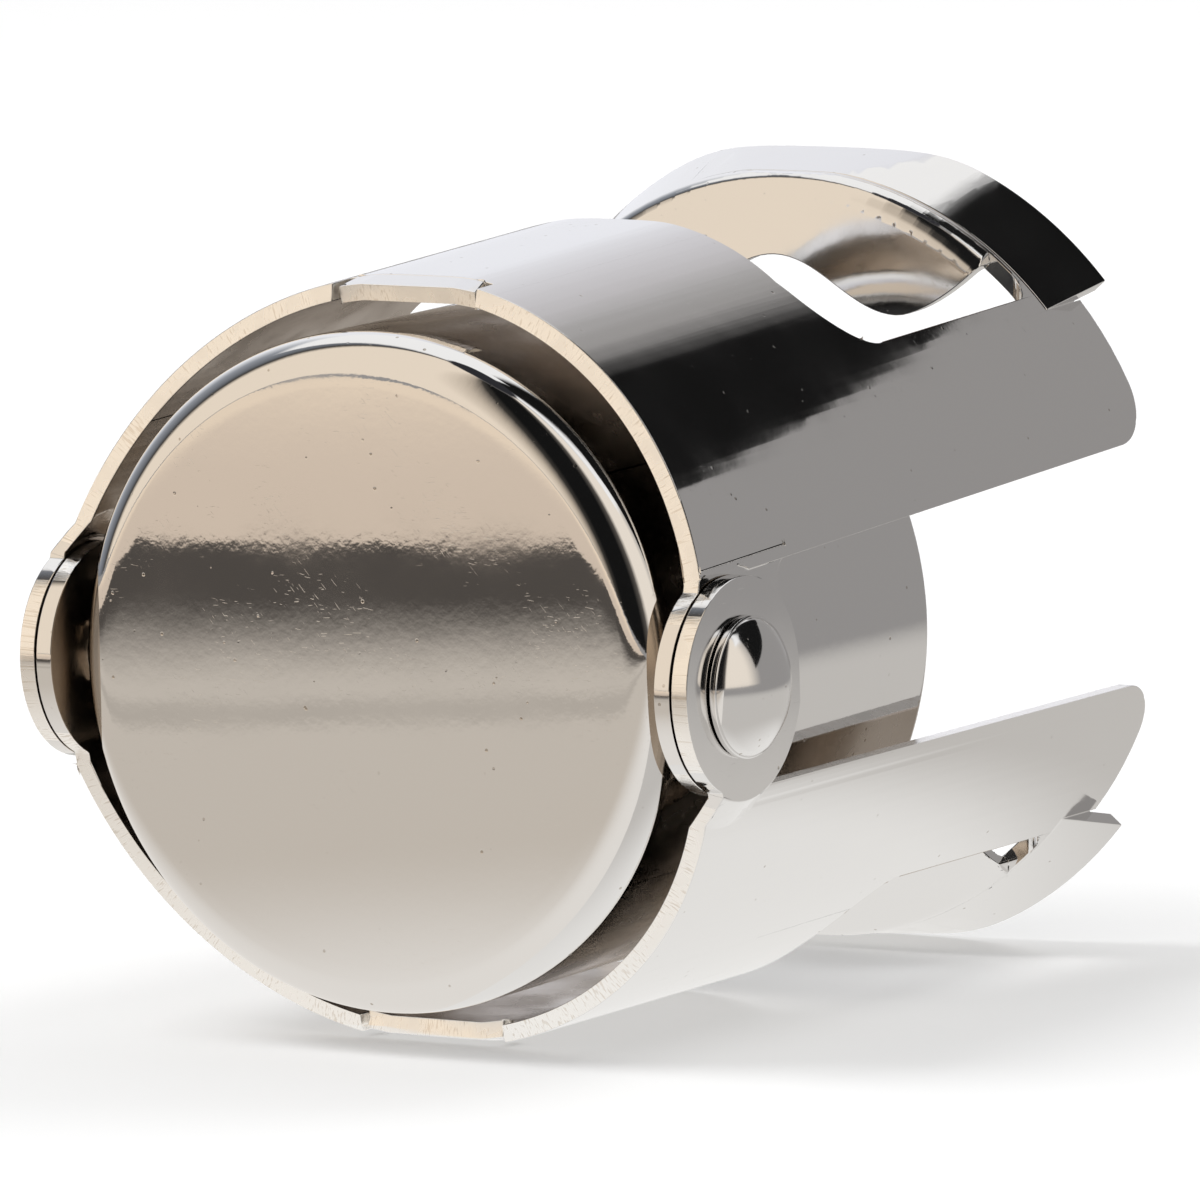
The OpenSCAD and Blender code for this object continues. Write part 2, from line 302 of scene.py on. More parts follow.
class Graph:
    """The nodes of a material or of the world, added and linked by short calls."""

    def __init__(self, tree: bpy.types.NodeTree) -> None:
        """Takes over a node tree and empties it."""
        self.tree = tree
        tree.nodes.clear()

    def add(self, kind: str, inputs: dict | None = None, **settings: object) -> bpy.types.Node:
        """Adds one node.

        Args:
            kind: The node's type, without ShaderNode before it.
            inputs: Values or sockets for its inputs, by name or place.
            settings: The node's own settings.

        Returns:
            The new node.
        """
        node = self.tree.nodes.new("ShaderNode" + kind)
        for key, value in settings.items():
            setattr(node, key, value)
        for key, value in (inputs or {}).items():
            if isinstance(value, bpy.types.NodeSocket):
                self.tree.links.new(value, node.inputs[key])
            else:
                node.inputs[key].default_value = value
        return node

    def maths(self, operation: str, *values: object) -> bpy.types.NodeSocket:
        """Gives the result of one sum, product or other operation on numbers."""
        return self.add("Math", dict(enumerate(values)), operation=operation).outputs[0]

    def span(self, value: object, low: float, high: float, to: Limits = (0.0, 1.0)) -> bpy.types.NodeSocket:
        """Maps a value smoothly from one range to another, and holds it at the ends.

        Args:
            value: The socket to map.
            low: Where the change starts.
            high: Where the change ends.
            to: The results at the two ends.

        Returns:
            The mapped value.
        """
        inputs = {"Value": value, "From Min": low, "From Max": high, "To Min": to[0], "To Max": to[1]}
        return self.add("MapRange", inputs, interpolation_type="SMOOTHSTEP").outputs[0]

    def mix(self, share: object, first: object, second: object) -> bpy.types.NodeSocket:
        """Mixes two colours."""
        node = self.add("Mix", {0: share, 6: first, 7: second}, data_type="RGBA")
        return node.outputs[2]

    def grain(self, size: float, place: object, detail: float = 2.0) -> bpy.types.NodeSocket:
        """Gives noise whose spots are about so many millimetres wide."""
        inputs = {"Vector": place, "Scale": 1 / (size * MM), "Detail": detail}
        return self.add("TexNoise", inputs).outputs[0]

    def spots(self, spots: Spots, place: object, to: Limits = (0.0, 1.0)) -> bpy.types.NodeSocket:
        """Gives soft spots, with the results beside and in them."""
        noise = self.grain(spots.size, place, spots.detail)
        return self.span(noise, spots.begin, spots.fill, to)

    def streaks(self, width: float, length: float, tilt: Corner, place: object) -> bpy.types.NodeSocket:
        """Gives noise drawn out into long streaks.

        Args:
            width: How wide a streak is, in millimetres.
            length: How many times longer than wide it is.
            tilt: The streaks' turn about the three axes, in degrees.
            place: The coordinates.

        Returns:
            The streaks' height, about 0.5 in the mean.
        """
        turn = tuple(math.radians(angle) for angle in tilt)
        inputs = {"Vector": place, "Rotation": turn, "Scale": (1.0, 1.0, length)}
        drawn = self.add("Mapping", inputs, vector_type="TEXTURE").outputs[0]
        return self.grain(width, drawn, detail=1.0)

    def bump(self, relief: Relief, height: object, below: object | None = None) -> bpy.types.NodeSocket:
        """Gives the normal of a bumped surface.

        Args:
            relief: How the height shows.
            height: The height to show.
            below: The normal that the bump lies on, or None for the bare surface.

        Returns:
            The bumped normal.
        """
        inputs = {"Strength": relief.strength, "Distance": relief.depth * MM, "Height": height}
        if below is not None:
            inputs["Normal"] = below
        return self.add("Bump", inputs).outputs[0]


@dataclass(frozen=True)
class Finish:
    """A material whose marks are measured in millimetres on the piece."""

    name: str

    def make(self) -> bpy.types.Material:
        """Builds the material.

        Returns:
            The finished material.
        """
        material = bpy.data.materials.new(self.name)
        material.use_nodes = True
        graph = Graph(material.node_tree)
        place = graph.add("TexCoord").outputs["Object"]
        shader = graph.add("BsdfPrincipled", self.skin(graph, place))
        graph.add("OutputMaterial", {"Surface": shader.outputs[0]})
        return material

    def skin(self, graph: Graph, place: object) -> dict[str, object]:
        """Gives what the shader takes, and each kind of finish has its own.

        Args:
            graph: The material's nodes.
            place: The coordinates.

        Returns:
            The shader's inputs, by name.
        """
        raise NotImplementedError


@dataclass(frozen=True)
class PlatedSteel(Finish):
    """Bright plated steel with rub marks, fine scratches, pits and stuck dust.

    Widths and depths are in millimetres, and the scratches' directions in degrees.
    """

    colour: Colour = (0.83, 0.82, 0.81)
    stain: Colour = (0.50, 0.46, 0.41)
    roughness: Limits = (0.05, 0.10)
    rubbed: Spots = Spots(5.0, 0.35, 0.68, detail=4.0)
    scratches: float = 0.5
    scratch_length: float = 16.0
    scratch_limits: Limits = (0.73, 0.79)
    scratch_roughness: float = 0.10
    scratch_height: float = -0.5
    scratched_places: Spots = Spots(6.0, 0.48, 0.66)
    pits: float = 0.9
    pit_gap: float = 0.8
    pit_limits: Limits = (0.07, 0.14)
    pit_height: float = -1.2
    pitted_places: Spots = Spots(2.2, 0.56, 0.64, detail=3.0)
    dents: tuple[Corner, ...] = ()
    dent_size: float = 0.45
    dent_height: float = -6.0
    marks: Relief = Relief(0.5, 0.012)
    peel: Relief = Relief(0.4, 0.0014)
    peel_size: float = 0.45
    waves: Relief = Relief(0.35, 0.025)
    wave_size: float = 3.2
    directions: tuple[tuple[Corner, float], ...] = (
        ((90, 12, 0), 0.10),
        ((0, 68, 0), 0.12),
        ((0, -37, 0), 0.09),
        ((35, 24, 15), 0.14),
    )

    def skin(self, graph: Graph, place: object) -> dict[str, object]:
        """Gives what the shader takes.

        Args:
            graph: The material's nodes.
            place: The coordinates.

        Returns:
            The shader's inputs, by name.
        """
        scratch = self.scratched(graph, place)
        pit = self.pitted(graph, place)
        rough = graph.spots(self.rubbed, place, self.roughness)
        rough = graph.maths("ADD", rough, graph.maths("MULTIPLY", scratch, self.scratch_roughness))
        height = graph.maths("MULTIPLY", scratch, self.scratch_height * self.scratches)
        height = graph.maths("ADD", height, graph.maths("MULTIPLY", pit, self.pit_height))
        for dent in self.dents:
            height = graph.maths("ADD", height, self.dented(graph, place, dent))
        normal = graph.bump(self.marks, height)
        normal = graph.bump(self.peel, graph.grain(self.peel_size, place), normal)
        normal = graph.bump(self.waves, graph.grain(self.wave_size, place, detail=1.0), normal)
        tone = graph.mix(pit, (*self.colour, 1), (*self.stain, 1))
        return {"Base Color": tone, "Metallic": 1.0, "Roughness": rough, "Normal": normal}

    def scratched(self, graph: Graph, place: object) -> bpy.types.NodeSocket:
        """Gives where fine scratches run, in several directions.

        Args:
            graph: The material's nodes.
            place: The coordinates.

        Returns:
            More than 0 in a scratch and 0 beside it.
        """
        marks = None
        for tilt, width in self.directions:
            streak = graph.streaks(width, self.scratch_length, tilt, place)
            mark = graph.span(streak, *self.scratch_limits)
            marks = mark if marks is None else graph.maths("MAXIMUM", marks, mark)
        marks = graph.maths("MULTIPLY", marks, graph.spots(self.scratched_places, place))
        return graph.maths("MULTIPLY", marks, self.scratches)

    def pitted(self, graph: Graph, place: object) -> bpy.types.NodeSocket:
        """Gives where pinprick pits and stuck dust are.

        Args:
            graph: The material's nodes.
            place: The coordinates.

        Returns:
            More than 0 in a pit and 0 beside it.
        """
        cells = graph.add("TexVoronoi", {"Vector": place, "Scale": 1 / (self.pit_gap * MM)})
        spot = graph.span(cells.outputs["Distance"], *self.pit_limits, (1.0, 0.0))
        some = graph.maths("MULTIPLY", spot, graph.spots(self.pitted_places, place))
        return graph.maths("MULTIPLY", some, self.pits)

    def dented(self, graph: Graph, place: object, dent: Corner) -> bpy.types.NodeSocket:
        """Gives the hollow of one dent.

        Args:
            graph: The material's nodes.
            place: The coordinates.
            dent: The dent's middle, in the frame's millimetres.

        Returns:
            The hollow's height, which is negative.
        """
        middle = tuple(value * MM for value in dent)
        reach = graph.add("VectorMath", {0: place, 1: middle}, operation="DISTANCE")
        return graph.span(reach.outputs["Value"], 0.0, self.dent_size * MM, (self.dent_height, 0.0))


@dataclass(frozen=True)
class ShearedEdge(Finish):
    """The bare cut edge of the sheet, warm and hatched by the shear."""

    name: str = "sheared_edge"
    colour: Colour = (0.98, 0.96, 0.93)
    dark: Colour = (0.84, 0.79, 0.73)
    hatch: float = 0.11
    hatch_limits: Limits = (0.56, 0.74)
    wear_size: float = 1.8
    wear_share: float = 0.6
    wear_limits: Limits = (0.3, 0.7)
    roughness: Limits = (0.18, 0.32)
    relief: Relief = Relief(0.4, 0.012)
    axis_height: float = 19.3
    round_radius: float = 19.0

    def skin(self, graph: Graph, place: object) -> dict[str, object]:
        """Gives what the shader takes.

        Args:
            graph: The material's nodes.
            place: The coordinates.

        Returns:
            The shader's inputs, by name.
        """
        lines = graph.grain(self.hatch, self.along(graph, place), detail=1.0)
        wear = graph.grain(self.wear_size, place)
        share = graph.maths("ADD", lines, graph.maths("MULTIPLY", wear, self.wear_share))
        share = graph.span(share, *self.hatch_limits)
        tone = graph.mix(share, (*self.dark, 1), (*self.colour, 1))
        rough = graph.span(wear, *self.wear_limits, self.roughness)
        normal = graph.bump(self.relief, lines)
        return {"Base Color": tone, "Metallic": 1.0, "Roughness": rough, "Normal": normal}

    def along(self, graph: Graph, place: object) -> bpy.types.NodeSocket:
        """Gives coordinates that run along the edge and are even across the sheet.

        Args:
            graph: The material's nodes.
            place: The coordinates.

        Returns:
            The way round the bottle's axis and the way along it, in metres.
        """
        parts = graph.add("SeparateXYZ", {0: place})
        rise = graph.maths("SUBTRACT", parts.outputs[2], self.axis_height * MM)
        round_way = graph.maths("ARCTAN2", rise, parts.outputs[0])
        round_way = graph.maths("MULTIPLY", round_way, self.round_radius * MM)
        return graph.add("CombineXYZ", {0: round_way, 1: parts.outputs[1]}).outputs[0]


@dataclass(frozen=True)
class DrawnWire(Finish):
    """Spring or pan steel, duller, with marks along the way it was drawn."""

    colour: Colour = (0.56, 0.55, 0.53)
    shade: float = 0.72
    clouds: Spots = Spots(2.5, 0.35, 0.7, detail=3.0)
    roughness: Limits = (0.26, 0.42)
    streak: float = 0.12
    streak_length: float = 18.0
    streak_tilt: Corner = (90, 0, 0)
    streak_limits: Limits = (0.3, 0.7)
    relief: Relief = Relief(0.4, 0.01)

    def skin(self, graph: Graph, place: object) -> dict[str, object]:
        """Gives what the shader takes.

        Args:
            graph: The material's nodes.
            place: The coordinates.

        Returns:
            The shader's inputs, by name.
        """
        marks = graph.streaks(self.streak, self.streak_length, self.streak_tilt, place)
        darker = tuple(self.shade * value for value in self.colour)
        tone = graph.mix(graph.spots(self.clouds, place), (*self.colour, 1), (*darker, 1))
        rough = graph.span(marks, *self.streak_limits, self.roughness)
        normal = graph.bump(self.relief, marks)
        return {"Base Color": tone, "Metallic": 1.0, "Roughness": rough, "Normal": normal}


@dataclass(frozen=True)
class MouldedRubber(Finish):
    """Dark grey rubber with a fine moulded grain and a dusting of bloom."""

    name: str = "seal_rubber"
    colour: Colour = (0.028, 0.028, 0.030)
    bloom: Colour = (0.085, 0.083, 0.080)
    bloom_size: float = 3.0
    bloom_limits: Limits = (0.4, 0.75)
    rough_limits: Limits = (0.3, 0.7)
    roughness: Limits = (0.5, 0.72)
    pore: float = 0.18
    relief: Relief = Relief(0.4, 0.03)

    def skin(self, graph: Graph, place: object) -> dict[str, object]:
        """Gives what the shader takes.

        Args:
            graph: The material's nodes.
            place: The coordinates.

        Returns:
            The shader's inputs, by name.
        """
        dust = graph.grain(self.bloom_size, place, detail=5.0)
        tone = graph.mix(graph.span(dust, *self.bloom_limits), (*self.colour, 1), (*self.bloom, 1))
        rough = graph.span(dust, *self.rough_limits, self.roughness)
        normal = graph.bump(self.relief, graph.grain(self.pore, place))
        return {"Base Color": tone, "Roughness": rough, "Normal": normal}


WING_OUTSIDE = PlatedSteel("polished_wing")
# The inside faces are painted a darker brown than the outside: painted shade of the hollow inside the wing,
# on a rougher finish.
WING_INSIDE_PAINTED_SHADE = PlatedSteel(
    "wing_inside_painted_shade",
    colour=(0.46, 0.39, 0.32),
    stain=(0.30, 0.24, 0.18),
    roughness=(0.16, 0.30),
)
RIVET_STEEL = PlatedSteel("rivet_steel", roughness=(0.07, 0.14))


# Pieces of the stopper, with sizes in millimetres


@dataclass
class DrawnCap:
    """The drawn cup with its crowned face, rounded shoulder and rolled lip."""

    placing: Placing
    radius: float = 17.2
    wall: float = 0.7
    front: float = -4.2
    depth: float = 23.0
    shoulder: float = 2.0
    crown: float = 0.35
    lip_reach: float = 0.8
    lip_length: float = 1.6
    lip_round: float = 0.8
    edge_round: float = 0.2
    face_steps: int = 24
    round_steps: int = 12
    sides: int = 288
    finish: PlatedSteel = PlatedSteel(
        "polished_cap",
        roughness=(0.025, 0.06),
        scratches=0.7,
        scratch_length=14.0,
        pits=1.0,
        peel=Relief(0.4, 0.0035),
        waves=Relief(0.35, 0.0125),
        directions=(((0, 86, 0), 0.06), ((0, 98, 0), 0.05), ((0, -42, 0), 0.055)),
        dents=((8.8, -25.1, 29.5), (6.6, -25.1, 26.3), (12.1, -25.1, 12.6)),
    )

    def crowned(self, reach: float, level: float) -> list[Point]:
        """Gives the points of the crowned face from the middle outwards.

        Args:
            reach: The radius at which the crown ends.
            level: The height at which it ends.

        Returns:
            Points of radius and height.
        """
        bow = (reach**2 + self.crown**2) / (2 * self.crown)
        radii = [reach * i / self.face_steps for i in range(self.face_steps)]
        return [(r, level - self.crown + bow - math.sqrt(bow**2 - r**2)) for r in radii]

    def outline(self) -> list[Point]:
        """Gives the cup's section from the outside of the face round to its inside.

        Returns:
            Points of radius and height.
        """
        inside = self.radius - self.wall
        flat = self.radius - self.shoulder
        inner_round = self.shoulder - self.wall
        lip = inside - self.lip_reach
        fall = 2 * self.crown * flat / (flat**2 - self.crown**2) * self.shoulder
        walls = filleted(
            [
                (self.radius, self.front + fall, self.shoulder),
                (self.radius, self.depth, self.lip_round),
                (lip, self.depth, self.edge_round),
                (lip, self.depth - self.lip_length, self.edge_round),
                (inside, self.depth - self.lip_length, 0),
                (inside, self.front + self.wall, inner_round),
                (flat, self.front + self.wall, 0),
                (flat, self.front, 0),
            ],
            self.round_steps,
        )[:-2]
        outer = self.crowned(flat, self.front)
        inner = self.crowned(inside - inner_round, self.front + self.wall)
        return outer + walls + inner[::-1]

    def build(self) -> bpy.types.Object:
        """Builds and dresses the cup.

        Returns:
            The finished piece.
        """
        piece = turned("cap_shell", self.outline(), self.sides)
        piece.data.materials.append(self.finish.make())
        settle(piece, self.placing.to_row(), "cap", ["cap_cup"])
        return piece


@dataclass
class DomedRivet:
    """A rivet with a domed head outside the ears and a peened tail in the cup."""

    placing: Placing
    hand: int
    name: str
    shank: float = 2.0
    head: float = 3.55
    head_height: float = 1.9
    head_rim: float = 0.4
    head_round: float = 0.12
    head_at: float = 19.68
    tail: float = 2.6
    tail_at: float = 15.39
    tail_height: float = 0.9
    tail_round: float = 0.35
    tail_edge: float = 0.15
    dome_trim: float = 0.1
    dome_steps: int = 14
    round_steps: int = 5
    sides: int = 120

    def outline(self) -> list[Point]:
        """Gives the rivet's section from the tail's end to the top of the head.

        Returns:
            Points of radius and height.
        """
        dome = self.head_height - self.head_rim
        bow = (self.head**2 + dome**2) / (2 * dome)
        middle = self.head_at + self.head_height - bow
        spread = math.asin(self.head / bow)
        angles = [spread * (1 - i / self.dome_steps) for i in range(self.dome_steps + 1)]
        top = [(bow * math.sin(a), middle + bow * math.cos(a)) for a in angles]
        tail_top = self.tail_at + self.tail_height
        body = filleted(
            [
                (0, self.tail_at, 0),
                (self.tail, self.tail_at, self.tail_round),
                (self.tail, tail_top, self.tail_edge),
                (self.shank, tail_top, 0),
                (self.shank, self.head_at, 0),
                (self.head, self.head_at, self.head_round),
                (self.head, self.head_at + self.head_rim, self.head_round),
                (0, self.head_at + self.head_rim, 0),
            ],
            self.round_steps,
        )[:-1]
        return body + [point for point in top if point[0] < self.head - self.dome_trim]

    def build(self, finish: bpy.types.Material) -> bpy.types.Object:
        """Builds and dresses the rivet.

        Args:
            finish: The rivets' shared material.

        Returns:
            The finished piece.
        """
        piece = turned(self.name + "_turned", self.outline(), self.sides)
        piece.data.materials.append(finish)
        settle(piece, self.placing.rivet_to_row(self.hand), "cap", [self.name])
        return piece


@dataclass
class SheetWing:
    """A wing of bent sheet with its ears, window, hook and finger lip.

    Its z axis runs along the bottle, from the hinge to the lip, and its crown is at positive y. The
    flat pressed along the crown is blended into the round, and more softly so where the lip flares
    out. The four facings say how far a face has to turn to count as cut, as the lip's end or as inside.
    """

    placing: Placing
    side: Side
    outer: float = 19.5
    inner: float = 18.6
    flat_at: float = 19.34
    sag: float = 0.03
    flat_blend: float = 0.06
    lip_base: float = 40.0
    lip_end: float = 44.5
    lip_flare: float = 1.4
    lip_rise: float = 0.66
    lip_blend: float = 0.4
    ray_step: float = 0.75
    first_ray: float = 13.5
    hook_at: float = 38.3
    hook_bend: float = 1.3
    hook_lean: float = 9.0
    tab_half: float = 4.2
    tab_back: float = 3.1
    tab_spread: float = 1.09
    edge_round: float = 0.07
    edge_steps: int = 2
    cut_facing: float = 0.45
    end_facing: float = 0.8
    inside_facing: float = 0.7
    side_facing: float = 0.9
    edge_angle: float = 38.0
    smooth_angle: float = 40.0
    normal_weight: int = 60
    merge_gap: float = 0.002
    flat_angle: float = 0.3
    slack: float = 0.1
    end_zone: float = 2.0
    ear_top: float = 6.2

    def build(self, finishes: dict[SheetFace, bpy.types.Material]) -> bpy.types.Object:
        """Builds and dresses the wing.

        Args:
            finishes: The material of each kind of face.

        Returns:
            The finished piece.
        """
        place = self.placing.wing_to_row(self.side)
        piece = self.merged_copy()
        piece.data.transform(place.inverted())
        self.cut_into_strips(piece)
        self.make_round(piece)
        self.lean_hook(piece)
        self.spread_tab(piece)
        for kind in SheetFace:
            piece.data.materials.append(finishes[kind])
        self.mark_finishes(piece)
        self.ease_edges(piece)
        settle(piece, place, self.side.value, [self.side.value])
        return piece

    def merged_copy(self) -> bpy.types.Object:
        """Copies the wing's node and merges its loose triangles.

        Returns:
            The copy, in the frame's metres.
        """
        node = frame["nodes"][self.side.value]
        piece = bpy.data.objects.new(self.side.value.replace("wing", "sheet"), node.data.copy())
        bpy.context.scene.collection.objects.link(piece)
        piece.data.materials.clear()
        with editing(piece):
            bpy.ops.mesh.select_all(action="SELECT")
            bpy.ops.mesh.remove_doubles(threshold=self.merge_gap * MM)
            bpy.ops.mesh.customdata_custom_splitnormals_clear()
            bpy.ops.mesh.select_all(action="SELECT")
            bpy.ops.mesh.dissolve_limited(angle_limit=math.radians(self.flat_angle))
        return piece

    def cut_into_strips(self, piece: bpy.types.Object) -> None:
        """Cuts the sheet into narrow strips along the bottle.

        Args:
            piece: The wing, in its own millimetres.
        """
        rays = int((180 - 2 * self.first_ray) / self.ray_step) + 1
        with editing(piece):
            for i in range(rays):
                angle = math.radians(self.first_ray + i * self.ray_step)
                bpy.ops.mesh.select_all(action="SELECT")
                normal = (-math.sin(angle), math.cos(angle), 0)
                bpy.ops.mesh.bisect(plane_co=(0, 0, 0), plane_no=normal)

    def make_round(self, piece: bpy.types.Object) -> None:
        """Moves the strips' corners to the true round, blended into the pressed flats.

        Args:
            piece: The wing, in its own millimetres.
        """
        for vertex in piece.data.vertices:
            x, y, z = vertex.co
            if y < self.ear_top:
                continue
            radius = math.hypot(x, y)
            flared = max(z - self.lip_base, 0) / (self.lip_end - self.lip_base)
            blend = self.flat_blend + flared * (self.lip_blend - self.flat_blend)
            for depth in (0, self.outer - self.inner):
                full = self.outer - depth + flared * self.lip_flare
                flat = self.flat_at - depth + flared * self.lip_rise
                flat *= radius / y
                if abs(radius - min(full, flat)) < self.sag:
                    share = math.exp(-full / blend + flat / blend) + 1
                    true = flat - blend * math.log(share)
                    vertex.co = (x * true / radius, y * true / radius, z)

    def lean_hook(self, piece: bpy.types.Object) -> None:
        """Leans the hook's plate forward, so that its face looks up over the sheet.

        Args:
            piece: The wing, in its own millimetres.
        """
        start = self.outer - self.hook_bend
        slope = math.tan(math.radians(self.hook_lean))
        for vertex in piece.data.vertices:
            depth = start - math.hypot(vertex.co.x, vertex.co.y)
            if depth > 0 and self.hook_at - self.slack < vertex.co.z < self.hook_at + self.hook_bend:
                vertex.co.z -= depth * slope

    def spread_tab(self, piece: bpy.types.Object) -> None:
        """Widens the stop tab until only a slit is left on each side.

        Args:
            piece: The wing, in its own millimetres.
        """
        bottom = 2 * self.inner - self.outer
        for vertex in piece.data.vertices:
            middle = abs(vertex.co.x) < self.tab_half - self.slack and vertex.co.y > bottom
            if middle and vertex.co.z < self.tab_back:
                vertex.co.x *= self.tab_spread

    def mark_finishes(self, piece: bpy.types.Object) -> None:
        """Tells the sheared edges, and the sheet's duller inside that is painted darker brown as shade,
        from its polished outside.

        Args:
            piece: The wing, in its own millimetres.
        """
        for face in piece.data.polygons:
            x, y, z = face.center
            radius = math.hypot(x, y)
            outward = (face.normal.x * x + face.normal.y * y) / radius
            within = self.inner - self.slack / 2 < radius < self.outer + self.slack / 2
            cut = within and abs(outward) < self.cut_facing and z < self.lip_base - self.end_zone
            lip_end = z > self.lip_end - self.slack and face.normal.z > self.end_facing
            ear_inside = face.normal.x * x < -self.side_facing * abs(x)
            inside = outward < -self.inside_facing or ear_inside
            if cut or lip_end:
                face.material_index = SheetFace.EDGE.value
            # Inward faces get the inside material, which is painted darker as shade.
            elif inside and z < self.hook_at - self.end_zone:
                face.material_index = SheetFace.INSIDE.value

    def ease_edges(self, piece: bpy.types.Object) -> None:
        """Rounds the sheet's sharp edges a little and shades it smooth.

        Args:
            piece: The wing, in its own millimetres.
        """
        apply_modifier(
            piece,
            "BEVEL",
            width=self.edge_round,
            segments=self.edge_steps,
            limit_method="ANGLE",
            angle_limit=math.radians(self.edge_angle),
            use_clamp_overlap=False,
            loop_slide=False,
            miter_outer="MITER_ARC",
        )
        smooth(piece, self.smooth_angle)
        apply_modifier(piece, "WEIGHTED_NORMAL", keep_sharp=True, weight=self.normal_weight)


@dataclass
class SprungSeal:
    """The rubber disc in its sheet pan, pressed back by the coil spring."""

    placing: Placing
    pan_radius: float = 16.1
    pan_back: float = 17.6
    pan_front: float = 21.3
    pan_sheet: float = 0.7
    pan_fold: float = 0.5
    pan_edge: float = 0.2
    seal_radius: float = 15.35
    seal_round: float = 0.5
    seal_edge: float = 0.1
    dimple_radius: float = 7.0
    dimple_depth: float = 0.8
    dimple_edge: float = 0.4
    dimple_round: float = 0.3
    coil_radius: float = 11.0
    wire: float = 1.6
    wire_play: float = 0.01
    coil_from: float = -3.5
    open_turns: float = 4.0
    travel: float = 3.0
    travel_play: float = 0.03
    steps_per_turn: int = 48
    wire_steps: int = 5
    round_steps: int = 6
    sides: int = 240
    pan_finish: DrawnWire = DrawnWire("pan_steel", (0.62, 0.61, 0.60))
    wire_finish: DrawnWire = DrawnWire("spring_wire")
    rubber: MouldedRubber = MouldedRubber()

    def build(self) -> list[bpy.types.Object]:
        """Builds and dresses the pan, the rubber disc and the spring.

        Returns:
            The three pieces.
        """
        return [self.pan(), self.disc(), self.spring()]

    def pan(self) -> bpy.types.Object:
        """Builds the pan.

        Returns:
            The finished piece.
        """
        floor = self.pan_back + self.pan_sheet
        inside = self.pan_radius - self.pan_sheet
        outline = filleted(
            [
                (0, self.pan_back, 0),
                (self.pan_radius, self.pan_back, self.pan_fold),
                (self.pan_radius, self.pan_front, self.pan_edge),
                (inside, self.pan_front, self.pan_edge),
                (inside, floor, 0),
                (0, floor, 0),
            ],
            self.round_steps,
        )
        piece = turned("seal_pan_drawn", outline, self.sides)
        piece.data.materials.append(self.pan_finish.make())
        settle(piece, self.placing.to_row(), "seal", ["seal_pan"])
        return piece

    def disc(self) -> bpy.types.Object:
        """Builds the rubber disc.

        Returns:
            The finished piece.
        """
        back = self.pan_back + self.pan_sheet
        dimple = self.pan_front - self.dimple_depth
        outline = filleted(
            [
                (0, back, 0),
                (self.seal_radius, back, self.seal_edge),
                (self.seal_radius, self.pan_front, self.seal_round),
                (self.dimple_radius, self.pan_front, self.dimple_edge),
                (self.dimple_radius, dimple, self.dimple_round),
                (0, dimple, 0),
            ],
            self.round_steps,
        )
        piece = turned("seal_disc", outline, self.sides)
        piece.data.materials.append(self.rubber.make())
        settle(piece, self.placing.to_row(), "seal", ["rubber_seal"])
        return piece

    def spring_height(self, turn: float) -> float:
        """Gives how far the wire has risen after some turns, closed at both ends.

        Args:
            turn: How many turns it has made.

        Returns:
            The height over the wire's start.
        """
        travel = self.pan_back - self.coil_from - self.wire
        last = self.open_turns + 1
        if turn < 1:
            return self.wire * turn
        if turn > last:
            return travel - self.wire * (last + 1 - turn)
        return self.wire + (travel - 2 * self.wire) * (turn - 1) / self.open_turns

    def spring(self) -> bpy.types.Object:
        """Builds the coil spring from one long curve.

        Returns:
            The finished piece.
        """
        turns = self.open_turns + 2
        count = int(turns * self.steps_per_turn) + 1
        curve = bpy.data.curves.new("coil", "CURVE")
        curve.dimensions = "3D"
        curve.bevel_depth = self.wire / 2 - self.wire_play
        curve.bevel_resolution = self.wire_steps
        curve.use_fill_caps = True
        wire = curve.splines.new("POLY")
        wire.points.add(count - 1)
        for i, point in enumerate(wire.points):
            turn = turns * i / (count - 1)
            angle = 2 * math.pi * turn
            x = self.coil_radius * math.cos(angle)
            y = self.coil_radius * math.sin(angle)
            height = self.coil_from + self.wire / 2 + self.spring_height(turn)
            point.co = (x, y, height, 1)
        piece = bpy.data.objects.new("coil_spring", curve)
        bpy.context.scene.collection.objects.link(piece)
        select_only(piece)
        bpy.ops.object.convert(target="MESH")
        piece = bpy.context.view_layer.objects.active
        smooth(piece)
        piece.data.materials.append(self.wire_finish.make())
        place = self.placing.to_row()
        settle(piece, place, "cap", ["spring"])
        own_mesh(piece)
        return piece


# Studio, with the tones of the mirrored room, and its walls by compass in degrees

CREAM = (0.92, 0.80, 0.66)
SAND = (0.92, 0.84, 0.74)
BROWN = (0.05, 0.045, 0.04)
BLACK = (0.008, 0.008, 0.008)
GREY = (0.33, 0.32, 0.315)
ROOM_WALLS = (
    (-180, BROWN),
    (-168, (0.62, 0.53, 0.43)),
    (-158, CREAM),
    (-112, CREAM),
    (-103, BROWN),
    (-94, (0.16, 0.17, 0.19)),
    (-72, (0.32, 0.34, 0.38)),
    (-60, (0.60, 0.62, 0.66)),
    (-48, (0.95, 0.96, 1.00)),
    (-31, (0.89, 0.90, 0.95)),
    (-23, (0.69, 0.68, 0.71)),
    (-16, (0.57, 0.555, 0.57)),
    (-11, (0.43, 0.42, 0.42)),
    (-6, (0.36, 0.35, 0.345)),
    (4, GREY),
    (62, GREY),
    (80, SAND),
    (112, SAND),
    (122, (0.10, 0.09, 0.08)),
    (135, BLACK),
    (172, BLACK),
    (180, BROWN),
)


